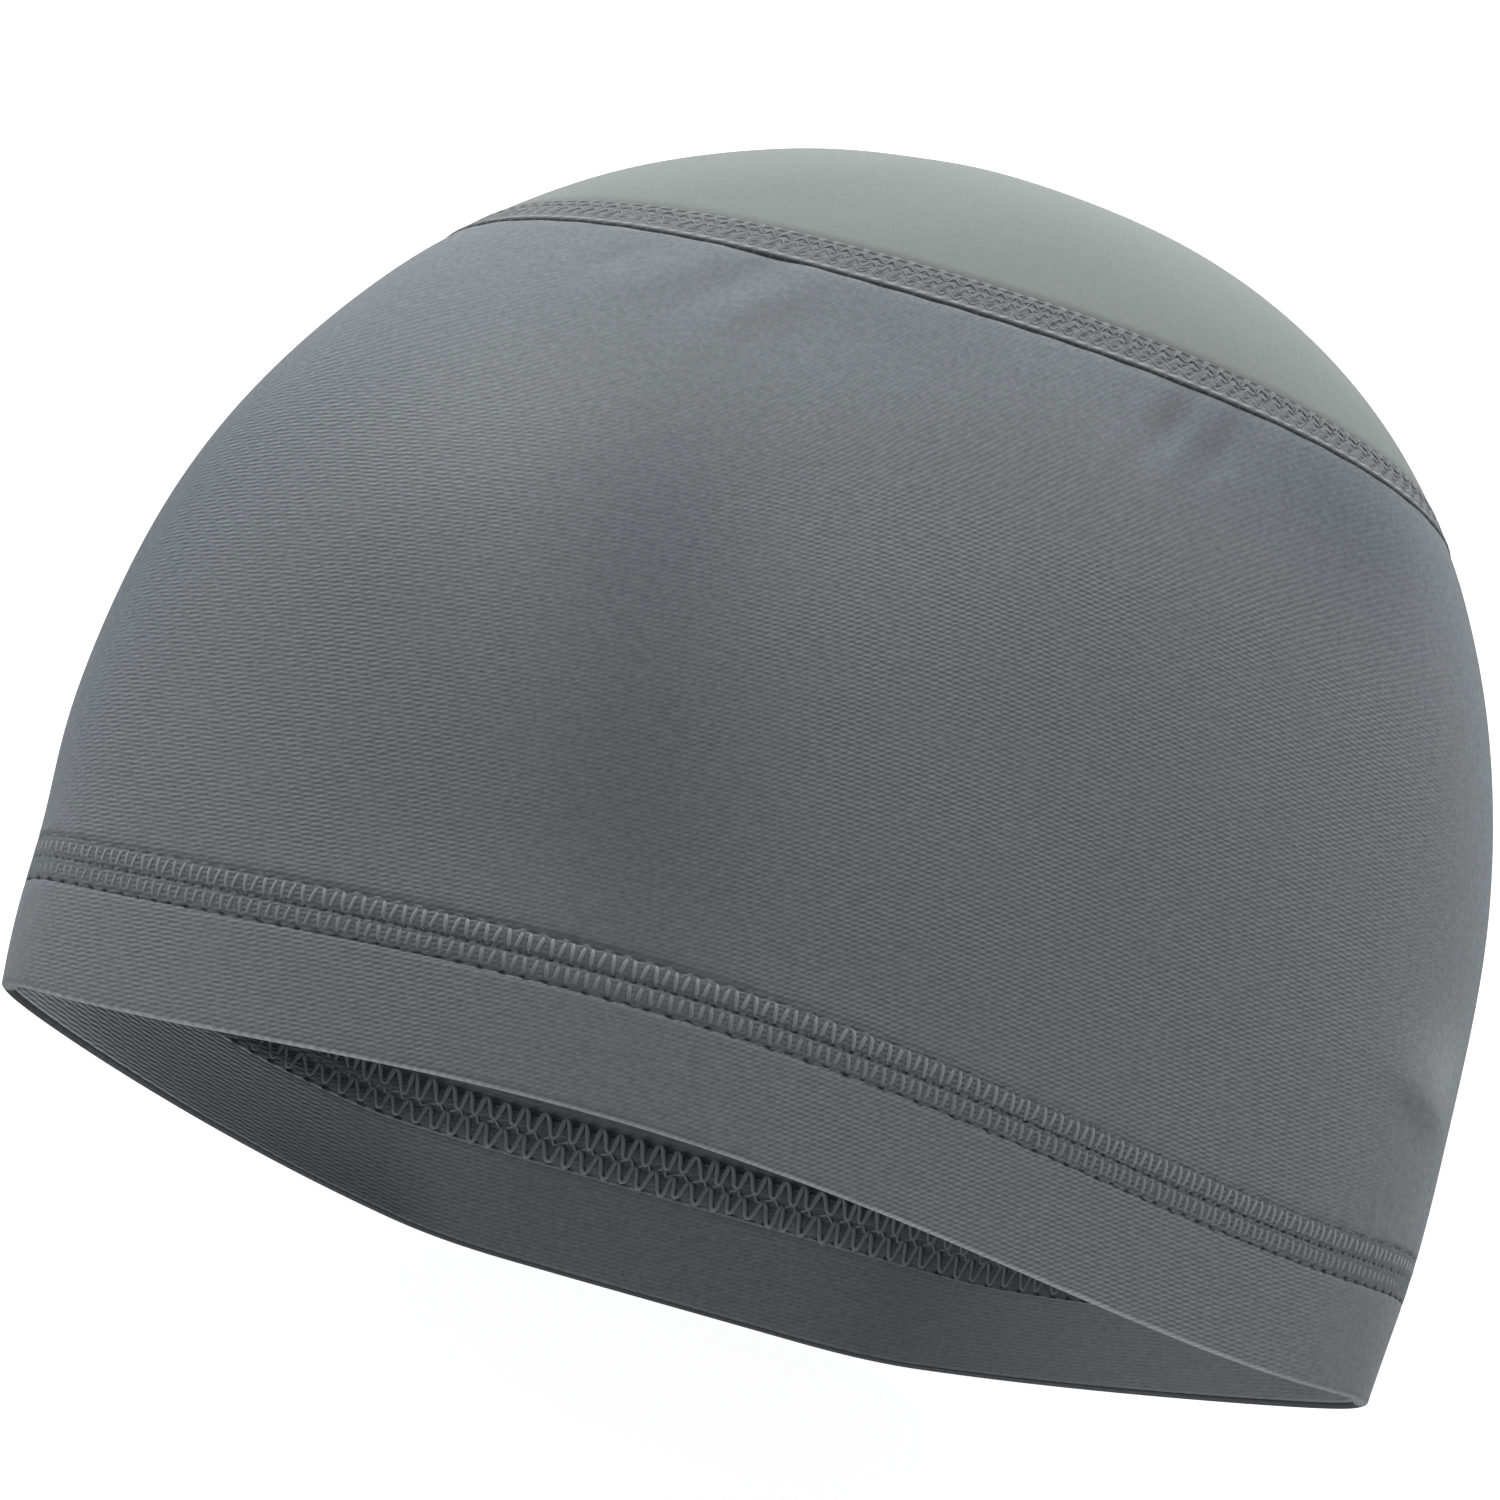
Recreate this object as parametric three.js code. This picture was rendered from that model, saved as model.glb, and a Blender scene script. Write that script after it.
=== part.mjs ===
// A knitted skull cap, laid down on its far wall with its mouth towards -Y.
// Millimetres, +Z up. +X runs along the rim, +Y from the mouth to the crown.
//
// The cap is one smooth surface P(around, reach, inset):
//   around  the angle about the Y axis: 0 at the +X side fold, 90 degrees on the
//           upper wall, 180 at the -X side fold and 270 on the wall that lies down
//   reach   0 at the rim, 1 at the top of the crown
//   inset   how far inside the outer skin, so that one formula gives both skins
// Every piece is a band of that surface between two reaches, with its own thickness.

import * as THREE from "three";

// Driving sizes of the whole cap.
const halfWidth = 111;
const depth = 166;
const foldHeight = 34.6;
const topRise = 62.5;
const sink = 7.9;
const mouthFoldRadius = 4;
const bodyFoldRadius = 16;
const floorSoftness = 4;

// How the width and the rise close over the crown.
const widthPower = 0.945;
const reachPower = 0.682;
const risePower = 1.023;
const midSwell = 0.144;
const rimDraw = 0.015;

// How round each section is, at the mouth and in the body.
const bodyRoundness = 1.52;
const mouthTopRoundness = 1.0;
const mouthFloorRoundness = 0.431;
const mouthPinch = 0.06;
const mouthLean = -0.289;
const mouthFade = 2.5;

// The rim bows out between its corners, and the crown leans a little to +X.
const rimBow = 20.25;
const cornerBow = 8.9;
const bowSkew = -2.6;
const bowFade = 1.5;
const crownLean = 9.1;
const bodyLean = -4.5;

// Hem, seams and walls.
const hemPlain = 16.7;
const hemTotal = 23.9;
const seamBand = 6;
const gap = 0.3;
const knitWall = 1.2;
const hemWall = 2.0;
const seamWall = 2.2;
const hemSeamProud = 0.2;
const crownSeamProud = 0.5;

// The crown seam's reach: its middle, and what the side folds add to it.
const seamReach = 0.751;
const seamSide = 0.0323;
const seamSkew = -0.0131;
const seamCorner = -0.0253;

// Soft forms of the cloth. around and spread are in degrees, at and tall in reach,
// rise in millimetres, out of the cloth when positive.
const folds = [
  { name: "shallow hollow over the hem", around: 104, spread: 31, at: 0.146, tall: 0.106, rise: -0.6 },
  { name: "full shoulder", around: 115, spread: 35, at: 0.426, tall: 0.154, rise: 1.0 },
  { name: "fold under the seam", around: 101, spread: 14, at: 0.694, tall: 0.056, rise: -0.3 },
];

// Columns round the cap, and how strongly the crown's rows crowd towards its pole.
const columns = 76;
const poleCrowding = 2.2;

// Where the middle of the outer skin's box lies before the cap is centred.
const boxCentre = { x: -0.27, y: 72.87 };

const radians = Math.PI / 180;

// Bring a height down onto the floor plane smoothly, over twice the softness.
function settle(height, plane) {
  const above = height - plane;
  if (above > floorSoftness) return height;
  if (above < -floorSoftness) return plane;
  return plane + (above + floorSoftness) ** 2 / (4 * floorSoftness);
}

// The smooth surface, without its soft forms.
function smoothPoint(around, reach, inset) {
  const c = Math.cos(around);
  const s = Math.sin(around);
  const near = 1 - reach;
  const mouth = near ** mouthFade;
  const lifted = Math.min(reach, 1) ** (1 / reachPower);
  const closing = Math.max(0, 1 - lifted * lifted) ** (widthPower / 2);
  const rise = closing ** risePower;

  const bow = -rimBow + cornerBow * c ** 4 + bowSkew * c ** 3;
  const y = (depth - inset) * reach + bow * near ** bowFade;

  const swell = 1 + midSwell * reach * near;
  const draw = 1 - rimDraw * near ** 3;
  const width = (halfWidth - inset) * closing * draw * swell;
  const x = width * c + crownLean * reach * reach + bodyLean * reach * near;

  const centre = foldHeight * (1 - mouthPinch * mouth);
  const foldRadius = bodyFoldRadius + (mouthFoldRadius - bodyFoldRadius) * mouth;
  const lipRadius = foldRadius - inset;
  const sharpness = Math.sqrt(halfWidth / lipRadius);
  const lip = lipRadius * Math.tanh(Math.abs(s) * sharpness) * closing;
  const topRound = bodyRoundness + (mouthTopRoundness - bodyRoundness) * mouth;
  const floorRound = bodyRoundness + (mouthFloorRoundness - bodyRoundness) * mouth;
  let z;
  if (s >= 0) {
    const height = (topRise - inset) * rise * (1 - mouthPinch * mouth);
    const lens = Math.abs(s) ** (2 / topRound) * (1 + mouthLean * c * mouth);
    z = centre + lip + (height - lipRadius * closing) * lens;
  } else {
    const height = (centre + sink - inset) * rise;
    const lens = Math.abs(s) ** (2 / floorRound);
    z = centre - lip - (height - lipRadius * closing) * lens;
  }
  return new THREE.Vector3(x, y, settle(z, Math.max(inset, 0)));
}

// The outward direction of the outer skin, from two short steps along it.
function outward(around, reach) {
  const step = 0.004;
  const low = Math.max(0, Math.min(reach, 1 - 2 * step) - step);
  const alongReach = smoothPoint(around, low + 2 * step, 0).sub(smoothPoint(around, low, 0));
  const middle = low + step;
  const alongTurn = smoothPoint(around + step, middle, 0).sub(smoothPoint(around - step, middle, 0));
  return alongReach.cross(alongTurn).normalize();
}

// Height of the soft forms above the smooth surface.
function foldRise(around, reach) {
  const degrees = around / radians;
  let rise = 0;
  for (const fold of folds) {
    const turn = (degrees - fold.around) / fold.spread;
    const climb = (reach - fold.at) / fold.tall;
    rise += fold.rise * Math.exp(-turn * turn - climb * climb);
  }
  return rise;
}

function point(around, reach, inset) {
  const place = smoothPoint(around, reach, inset);
  place.addScaledVector(outward(around, reach), foldRise(around, reach));
  place.x -= boxCentre.x;
  place.y -= boxCentre.y;
  return place;
}

// The reach that lies a length of cloth further up from a given one.
function climbFrom(around, reach, length) {
  const step = 0.002;
  let here = smoothPoint(around, reach, 0);
  let at = reach;
  let left = length;
  while (left > 0) {
    const next = smoothPoint(around, at + step, 0);
    const walked = next.distanceTo(here);
    if (walked >= left) return at + step * (left / walked);
    left -= walked;
    at += step;
    here = next;
  }
  return at;
}

// Where each piece starts and ends, as reaches, for one angle round the cap.
// Each piece above the hem starts a small gap past the line that ends the one below.
function edges(around) {
  const c = Math.cos(around);
  const seam = seamReach + seamSide * c * c + seamSkew * c + seamCorner * c ** 4;
  const hemLine = climbFrom(around, 0, hemPlain);
  const hemTop = climbFrom(around, 0, hemTotal);
  const bandTop = climbFrom(around, seam, seamBand);
  return {
    hem_band: [0, hemLine],
    hem_seam: [climbFrom(around, hemLine, gap), hemTop],
    body_panel: [climbFrom(around, hemTop, gap), seam],
    crown_seam: [climbFrom(around, seam, gap), bandTop],
    crown_panel: [climbFrom(around, bandTop, gap), 1],
  };
}

const angles = Array.from({ length: columns }, (_, i) => (2 * Math.PI * i) / columns);
const lines = angles.map(edges);

// Rings of points over a piece, from its lower edge to its upper one. The crown's
// rings crowd towards the pole, which they leave out.
function rings(piece, inset) {
  const count = piece.closed ? piece.rows : piece.rows + 1;
  return Array.from({ length: count }, (_, row) => {
    const share = row / piece.rows;
    const spaced = piece.closed ? 1 - (1 - share) ** poleCrowding : share;
    return angles.map((around, i) => {
      const [from, to] = lines[i][piece.name];
      return point(around, from + (to - from) * spaced, inset);
    });
  });
}

// A wall between an outer and an inner skin, joined along its edges.
function wall(piece) {
  const positions = [];
  const index = [];
  const add = (place) => {
    positions.push(place.x, place.y, place.z);
    return positions.length / 3 - 1;
  };
  const quad = (a, b, c, d) => index.push(a, b, c, a, c, d);
  const outerInset = -piece.proud;
  const innerInset = piece.thickness - piece.proud;
  const outer = rings(piece, outerInset).map((ring) => ring.map(add));
  const inner = rings(piece, innerInset).map((ring) => ring.map(add));
  const top = outer.length - 1;
  for (let i = 0; i < columns; i++) {
    const j = (i + 1) % columns;
    for (let row = 0; row < top; row++) {
      quad(outer[row][i], outer[row + 1][i], outer[row + 1][j], outer[row][j]);
      quad(inner[row][i], inner[row][j], inner[row + 1][j], inner[row + 1][i]);
    }
    quad(outer[0][i], outer[0][j], inner[0][j], inner[0][i]);
    if (!piece.closed) quad(outer[top][j], outer[top][i], inner[top][i], inner[top][j]);
  }
  if (piece.closed) {
    const outerPole = add(point(0, 1, outerInset));
    const innerPole = add(point(0, 1, innerInset));
    for (let i = 0; i < columns; i++) {
      const j = (i + 1) % columns;
      index.push(outer[top][i], outerPole, outer[top][j]);
      index.push(inner[top][i], inner[top][j], innerPole);
    }
  }
  const geometry = new THREE.BufferGeometry();
  geometry.setAttribute("position", new THREE.Float32BufferAttribute(positions, 3));
  geometry.setIndex(index);
  geometry.computeVertexNormals();
  return geometry;
}

// The pieces from the rim up. proud is how far a piece stands outside the smooth skin.
const pieces = [
  { name: "hem_band", rows: 4, thickness: hemWall, proud: 0, colour: 0x777c7f },
  { name: "hem_seam", rows: 2, thickness: seamWall, proud: hemSeamProud, colour: 0x6f7477 },
  { name: "body_panel", rows: 14, thickness: knitWall, proud: 0, colour: 0x71767a },
  { name: "crown_seam", rows: 2, thickness: seamWall, proud: crownSeamProud, colour: 0x858a8c },
  { name: "crown_panel", rows: 8, thickness: knitWall, proud: 0, colour: 0x979c9c, closed: true },
];

const skullCap = new THREE.Group();
for (const piece of pieces) {
  const material = new THREE.MeshStandardMaterial({
    color: piece.colour,
    roughness: 0.95,
    metalness: 0,
  });
  const mesh = new THREE.Mesh(wall(piece), material);
  mesh.name = piece.name;
  skullCap.add(mesh);
}

export default skullCap;
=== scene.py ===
"""Looks of a knitted stretch skull cap that lies on its far wall, mouth towards -Y."""
import math

import bpy
import numpy as np
from mathutils import Matrix, Vector


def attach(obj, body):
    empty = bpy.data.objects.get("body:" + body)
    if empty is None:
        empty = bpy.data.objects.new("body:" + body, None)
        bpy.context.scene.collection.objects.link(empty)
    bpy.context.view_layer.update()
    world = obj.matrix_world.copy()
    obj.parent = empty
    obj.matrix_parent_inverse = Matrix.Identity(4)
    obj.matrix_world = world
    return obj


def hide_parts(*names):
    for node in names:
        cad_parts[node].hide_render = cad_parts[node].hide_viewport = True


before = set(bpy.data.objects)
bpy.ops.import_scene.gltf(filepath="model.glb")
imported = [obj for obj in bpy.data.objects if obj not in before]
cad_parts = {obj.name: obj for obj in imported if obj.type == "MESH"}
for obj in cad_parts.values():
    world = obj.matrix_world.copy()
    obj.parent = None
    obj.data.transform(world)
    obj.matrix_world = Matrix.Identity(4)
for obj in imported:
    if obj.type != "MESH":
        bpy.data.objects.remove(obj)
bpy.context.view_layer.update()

MM = 0.001
TURN = 2 * math.pi
# Every ring starts at the middle of the wall that lies down, where its join can't be seen.
START = -TURN / 4

# Driving sizes of the cap, in millimetres, with the powers and shares that shape it and
# how far it bows and leans. The solids have the same.
HALF_WIDTH = 111
DEPTH = 166
FOLD_HEIGHT = 34.6
TOP_RISE = 62.5
SINK = 7.9
MOUTH_FOLD_RADIUS = 4
BODY_FOLD_RADIUS = 16
FLOOR_SOFTNESS = 4
WIDTH_POWER = 0.945
REACH_POWER = 0.682
RISE_POWER = 1.023
MID_SWELL = 0.144
RIM_DRAW = 0.015
BODY_ROUNDNESS = 1.52
MOUTH_TOP_ROUNDNESS = 1.0
MOUTH_FLOOR_ROUNDNESS = 0.431
MOUTH_PINCH = 0.06
MOUTH_LEAN = -0.289
MOUTH_FADE = 2.5
RIM_BOW = 20.25
CORNER_BOW = 8.9
BOW_SKEW = -2.6
BOW_FADE = 1.5
CROWN_LEAN = 9.1
BODY_LEAN = -4.5
BOX_CENTRE = (-0.27, 72.87)

# The hem's needle line and its stitched top, in millimetres of cloth up from the rim.
HEM_PLAIN = 16.7
HEM_TOTAL = 23.9
# The crown seam's reach: its middle, and what the side folds add to it.
SEAM_REACH = 0.751
SEAM_SIDE = 0.0323
SEAM_SKEW = -0.0131
SEAM_CORNER = -0.0253
# Thickness of the walls in millimetres.
KNIT_WALL = 1.2
HEM_WALL = 2.0
SEAM_WALL = 2.2
# The crown seam's stitches run a little over the edge of the solid's band. The band
# narrows towards the +X side, between two cosines of the angle.
STITCHED_BAND = 7.4
BAND_NARROWS = 0.7
BAND_NARROWS_BETWEEN = (0.2, 0.7)

# Soft forms of the cloth: angle round the cap and its spread in degrees, reach and its
# spread as a share of the depth, height in millimetres.
FOLDS = [
    (104, 31, 0.146, 0.106, -0.6),
    (115, 35, 0.426, 0.154, 1.0),
    (101, 14, 0.694, 0.056, -0.3),
]


def bell(value, at, spread):
    """A bell shape, 1 at its middle: e to the minus square of the distance in spreads."""
    return np.exp(-(((value - at) / spread) ** 2))


def soft_step(value, low, high):
    """A smooth step from 0 below one value to 1 above another."""
    t = np.clip((value - low) / (high - low), 0, 1)
    return t * t * (3 - 2 * t)


def settle(height, plane):
    """Brings heights down onto the floor plane: a parabola joins the slope to the flat."""
    above = height - plane
    soft = plane + (above + FLOOR_SOFTNESS) ** 2 / (4 * FLOOR_SOFTNESS)
    return np.where(above > FLOOR_SOFTNESS, height, np.where(above < -FLOOR_SOFTNESS, plane, soft))


def smooth_point(around, reach, inset):
    """The smooth skin. Across a section x follows the cosine of the angle and z a power
    of its sine, with a small rounded lip at the side folds. Along the reach the width
    and the rise close over the crown as powers of a superellipse."""
    around, reach, inset = np.broadcast_arrays(around, reach, inset)
    c, s = np.cos(around), np.sin(around)
    near = 1 - reach
    mouth = near**MOUTH_FADE
    lifted = np.clip(reach, 0, 1) ** (1 / REACH_POWER)
    closing = np.clip(1 - lifted**2, 0, 1) ** (WIDTH_POWER / 2)
    rise = closing**RISE_POWER
    bow = -RIM_BOW + CORNER_BOW * c**4 + BOW_SKEW * c**3
    y = (DEPTH - inset) * reach + bow * near**BOW_FADE
    width = (HALF_WIDTH - inset) * closing * (1 - RIM_DRAW * near**3) * (1 + MID_SWELL * reach * near)
    x = width * c + CROWN_LEAN * reach**2 + BODY_LEAN * reach * near
    centre = FOLD_HEIGHT * (1 - MOUTH_PINCH * mouth)
    lip_radius = BODY_FOLD_RADIUS + (MOUTH_FOLD_RADIUS - BODY_FOLD_RADIUS) * mouth - inset
    lip = lip_radius * np.tanh(np.abs(s) * np.sqrt(HALF_WIDTH / lip_radius)) * closing
    top_round = BODY_ROUNDNESS + (MOUTH_TOP_ROUNDNESS - BODY_ROUNDNESS) * mouth
    floor_round = BODY_ROUNDNESS + (MOUTH_FLOOR_ROUNDNESS - BODY_ROUNDNESS) * mouth
    top_height = (TOP_RISE - inset) * rise * (1 - MOUTH_PINCH * mouth)
    top_lens = np.abs(s) ** (2 / top_round) * (1 + MOUTH_LEAN * c * mouth)
    floor_height = (centre + SINK - inset) * rise
    floor_lens = np.abs(s) ** (2 / floor_round)
    top = centre + lip + (top_height - lip_radius * closing) * top_lens
    floor = centre - lip - (floor_height - lip_radius * closing) * floor_lens
    z = settle(np.where(s >= 0, top, floor), np.maximum(inset, 0))
    return np.stack([x, y, z], -1)


def outward(around, reach):
    """Unit normals of the outer skin, from the cross product of two short steps."""
    step = 0.003
    low = np.clip(np.minimum(reach, 1 - 2 * step) - step, 0, 1)
    along = smooth_point(around, low + 2 * step, 0) - smooth_point(around, low, 0)
    middle = low + step
    turn = smooth_point(around + step, middle, 0) - smooth_point(around - step, middle, 0)
    normal = np.cross(along, turn)
    return normal / np.maximum(np.linalg.norm(normal, axis=-1, keepdims=True), 1e-9)


def fold_rise(around, reach):
    """Height of the soft forms: a sum of bell shapes in angle and reach."""
    degrees = np.degrees(around) % 360
    rise = 0
    for at_angle, spread, at_reach, tall, height in FOLDS:
        rise = rise + height * bell(degrees, at_angle, spread) * bell(reach, at_reach, tall)
    return rise


# The reach at which the cloth is measured across.
ACROSS_REACH = 0.3


def walk_tables(columns=720, steps=400, shares=300):
    """For each angle the cloth's length from rim to pole, and the reach at each share of
    it. The lengths are sums of short straight steps over the smooth skin."""
    angles = np.linspace(0, TURN, columns + 1)
    reaches = 1 - (1 - np.linspace(0, 1, steps + 1)) ** 2
    skin = smooth_point(angles[:, None], reaches[None, :], 0)
    lengths = np.cumsum(np.linalg.norm(np.diff(skin, axis=1), axis=-1), axis=1)
    lengths = np.concatenate([np.zeros((columns + 1, 1)), lengths], axis=1)
    share = np.linspace(0, 1, shares + 1)
    reach = np.array([np.interp(share * row[-1], row, reaches) for row in lengths])
    middle = smooth_point(angles, ACROSS_REACH, 0)
    across = np.cumsum(np.linalg.norm(np.diff(middle, axis=0), axis=-1))
    return {
        "angles": angles,
        "total": lengths[:, -1],
        "reach": reach,
        "across": np.concatenate([[0], across]),
        "lengths": lengths,
        "reaches": reaches,
    }


WALK = walk_tables()


def along_angle(row, around):
    """A table value at any angle, straight between its columns."""
    return np.interp(np.mod(around, TURN), WALK["angles"], row)


def reach_at(around, up):
    """The reach that lies a length of cloth up from the rim, by bilinear look-up."""
    around, up = np.broadcast_arrays(around, up)
    table = WALK["reach"]
    share = np.clip(up / along_angle(WALK["total"], around), 0, 1) * (table.shape[1] - 1)
    column = np.mod(around, TURN) / TURN * (table.shape[0] - 1)
    i = np.minimum(column.astype(int), table.shape[0] - 2)
    j = np.minimum(share.astype(int), table.shape[1] - 2)
    f, g = column - i, share - j
    low = table[i, j] * (1 - f) + table[i + 1, j] * f
    high = table[i, j + 1] * (1 - f) + table[i + 1, j + 1] * f
    return low * (1 - g) + high * g


def seam_line():
    """Cloth length from the rim to the crown seam, one value for each table angle. The
    seam's reach is a sum of powers of the cosine of the angle."""
    c = np.cos(WALK["angles"])
    seam = SEAM_REACH + SEAM_SIDE * c**2 + SEAM_SKEW * c + SEAM_CORNER * c**4
    return np.array([np.interp(at, WALK["reaches"], row) for at, row in zip(seam, WALK["lengths"])])


SEAM_UP = seam_line()


def seam_up(around):
    """Cloth length from the rim to the crown seam at any angle."""
    return along_angle(SEAM_UP, around)


# Small dents at the side folds, where the stitched hem draws the cloth in or lets it out:
# angle, its spread in degrees, cloth height, its spread and rise in millimetres.
SIDE_DENTS = [
    (180.0, 24.0, 27.0, 13.0, -1.1),
    (0.0, 24.0, 22.0, 13.0, 0.5),
]


def side_rise(around, up):
    """Height of the side dents: bell shapes in angle and cloth height."""
    rise = 0
    for at, spread, level, tall, height in SIDE_DENTS:
        away = (np.degrees(around) - at + 180) % 360 - 180
        rise = rise + height * bell(away, 0, spread) * bell(up, level, tall)
    return rise


def cloth(around, up, inset, relief=0.0):
    """Points of the cap in millimetres: the smooth skin at a length of cloth up from the
    rim, moved out along its normal by the soft forms and the relief."""
    reach = reach_at(around, up)
    normal = outward(around, reach)
    rise = fold_rise(around, reach) + side_rise(around, up) + relief
    place = smooth_point(around, reach, inset) + normal * np.broadcast_to(rise, reach.shape)[..., None]
    place[..., 0] -= BOX_CENTRE[0]
    place[..., 1] -= BOX_CENTRE[1]
    place[..., 2] = np.maximum(place[..., 2], 0.0)
    return place


# The weave: rows of stitches that run round the cap, crossed by a slanted wave. Counts
# are waves for each millimetre of cloth, first at the rim and then how they change. The
# rows are 0.72 mm apart at the rim and 0.8 mm under the crown.
ROWS_AT_RIM = 1.38
ROWS_LOST = 0.0007
ROWS_SAG = 0.00001
SLANT_AT_RIM = 1.15
SLANT_LOST = 0.00075
SLANT_ACROSS = 0.62
SLANT_NARROWS = 0.00001
# The slanted wave is steepest near a middle, in millimetres of cloth across.
SLANT_SWELL = 0.28
SLANT_MIDDLE = 20.0
SLANT_REACH = 45.0
# It turns steeper from one height on, over a length of cloth.
SLANT_TURNS = 0.000033
SLANT_TURNS_FROM = 65.0
SLANT_TURNS_FOR = 50.0
# The slanted wave of the inner face.
INNER_ACROSS = 0.65
INNER_FADE = 0.0025


def cloth_across(around):
    """Millimetres of cloth to the right of the middle of the near wall: the length walked
    round the cap up to there, less the length up to the angle."""
    quarter = along_angle(WALK["across"], TURN / 4)
    turns = np.floor(around / TURN)
    return quarter - (along_angle(WALK["across"], around) + turns * WALK["across"][-1])


def outer_weave(around, up):
    """Two phases of the outer weave: rows that follow the rim and crowd towards it, and a
    slanted wave, steepest a little right of the middle. Both are polynomials of the cloth's
    height and width, and the slanted one has a sine across and a cubic near the crown."""
    right = cloth_across(around)
    rows = ROWS_AT_RIM * up - ROWS_LOST * up**2 + ROWS_SAG * up * right**2
    swell = SLANT_SWELL * SLANT_REACH * np.sin((right - SLANT_MIDDLE) / SLANT_REACH)
    slanted = SLANT_ACROSS * right + swell - SLANT_AT_RIM * up + SLANT_LOST * up**2
    slanted = slanted - SLANT_NARROWS * up**2 * np.maximum(right, 0)
    high = np.maximum(up - SLANT_TURNS_FROM, 0)
    turning = np.minimum(high, SLANT_TURNS_FOR)
    slanted = slanted + SLANT_TURNS * (turning**3 + 3 * SLANT_TURNS_FOR**2 * (high - turning))
    return np.stack([rows, slanted], -1)


def inner_weave(around, up, columns, rows):
    """Corner values of the inner weave's two phases. They are measured from the middle of
    the wall that lies down, and the second half of the columns a whole turn less, so that
    their one step falls on the near wall's inside, out of sight. Both are straight in the
    cloth's height, and the slanted one bends across as a parabola each way."""
    right = cloth_across(np.array(START)) - cloth_across(around)
    corners = corner_values(np.stack([right, up], -1), columns, rows).reshape(columns, -1, 2)
    corners[columns // 2 :, :, 0] -= WALK["across"][-1]
    right, up = corners.reshape(-1, 2).T
    slanted = INNER_ACROSS * right - INNER_FADE * right * np.abs(right) / 2 - SLANT_AT_RIM * up
    return np.stack([ROWS_AT_RIM * up, slanted], -1)


# The crease at the +X fold: a ridge with a steep side to the rim and a longer one to the
# crown. Angle and its spread in degrees, cloth height of the ridge at that angle, width of
# each side and height in millimetres, and how far the ridge climbs for each degree.
CREASE_AT = 20.0
CREASE_SPREAD = 7.5
CREASE_UP = 45.8
CREASE_STEEP_SIDE = 2.4
CREASE_LONG_SIDE = 8.0
CREASE_HEIGHT = 1.1
CREASE_CLIMB = 0.294

# How pale the outer cloth is, from 0 for its darkest to 1. Where painted light and painted
# shade make it differ: angle and its spread in degrees, cloth height and its spread in
# millimetres, and how much it differs.
NORMAL_PALE = 0.25
PAINTED_LIGHT_AND_SHADE_AREAS = [
    (45, 15, 134, 16, -0.4),
    (168, 17, 75, 40, -0.35),
    (127, 14, 110, 20, 0.22),
    (64, 5, 133, 10, -0.15),
]
# The patch of painted light on the crease's long slope, in the same way, and how softly the
# crease cuts it off, in millimetres below and above its ridge.
PAINTED_LIGHT_PATCH = (19, 10, 52.5, 8, 0.45)
PATCH_EDGE = (-0.6, 1.6)

# The stretched strip left of the middle, where the weave is faint, and a column of painted
# shade in it. Angle at the rim, degrees of lean for each millimetre up, and spread.
FAINT_STRIP = (97, 0.12, 13)
PAINTED_SHADE_COLUMN = (95, 0.135, 8.5)
# Cloth heights between which the column fades out at its top, and grows at its foot.
COLUMN_TOP = (80, 125)
COLUMN_FOOT = (12, 30)
COLUMN_AT_HEM = 0.4
# Full strength of the weave, its loss in the strip and its loss over the crown, which
# comes between two cloth heights.
CLEAR_WEAVE = 1.15
STRIP_LOSS = 0.8
CROWN_LOSS = 0.7
CROWN_LOSS_BETWEEN = (100, 132)
# Degrees from the +X fold and from the -X fold between which the weave comes back.
RIGHT_FOLD_FADE = (18, 42)
LEFT_FOLD_FADE = (10, 26)


def crease_level(degrees):
    """Cloth height of the side crease at an angle: a straight climb."""
    return CREASE_UP + CREASE_CLIMB * (degrees - CREASE_AT)


def area(degrees, up, at, spread, level, tall, amount):
    """A patch of the cloth: a bell shape in angle times one in cloth height."""
    return amount * bell(degrees, at, spread) * bell(up, level, tall)


def leaning(degrees, up, at, lean, spread):
    """An upright strip of the cloth: a bell shape in angle that leans with height."""
    return bell(degrees - lean * up, at, spread)


def outer_share(around, up):
    """How clearly the outer weave shows, and how pale the cloth is: its own tone with painted
    light and painted shade. The weave is faint in a strip left of the middle, over the crown,
    and near both side folds. The wall that lies down mirrors the one above it, all but the
    painted light patch over the crease. The paleness is its own level, lowered in a column of
    painted shade, and a sum of bell shapes in angle and cloth height."""
    degrees = np.degrees(around)
    mirrored = np.degrees(np.abs(np.mod(around + TURN / 2, TURN) - TURN / 2))
    folds = soft_step(mirrored, *RIGHT_FOLD_FADE) * soft_step(180 - mirrored, *LEFT_FOLD_FADE)
    share = CLEAR_WEAVE - STRIP_LOSS * leaning(mirrored, up, *FAINT_STRIP)
    share = share * (1 - CROWN_LOSS * soft_step(up, *CROWN_LOSS_BETWEEN)) * folds
    # A column of painted shade lowers the paleness.
    column = leaning(mirrored, up, *PAINTED_SHADE_COLUMN) * (1 - soft_step(up, *COLUMN_TOP))
    column = column * (COLUMN_AT_HEM + (1 - COLUMN_AT_HEM) * soft_step(up, *COLUMN_FOOT))
    painted_light_tone = NORMAL_PALE * (1 - column)
    for place in PAINTED_LIGHT_AND_SHADE_AREAS:
        painted_light_tone = painted_light_tone + area(mirrored, up, *place)
    over_crease = soft_step(up - crease_level(degrees), *PATCH_EDGE)
    return np.stack([share, painted_light_tone + area(degrees, up, *PAINTED_LIGHT_PATCH) * over_crease], -1)


# The inner face of the wall that lies down: how clear its weave is, how much clearer near
# one angle, and that angle and its spread in degrees.
INNER_CLEAR = 0.35
INNER_CLEARER = 2.1
INNER_CLEAREST_AT = 212
INNER_CLEAREST_SPREAD = 24
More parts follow.
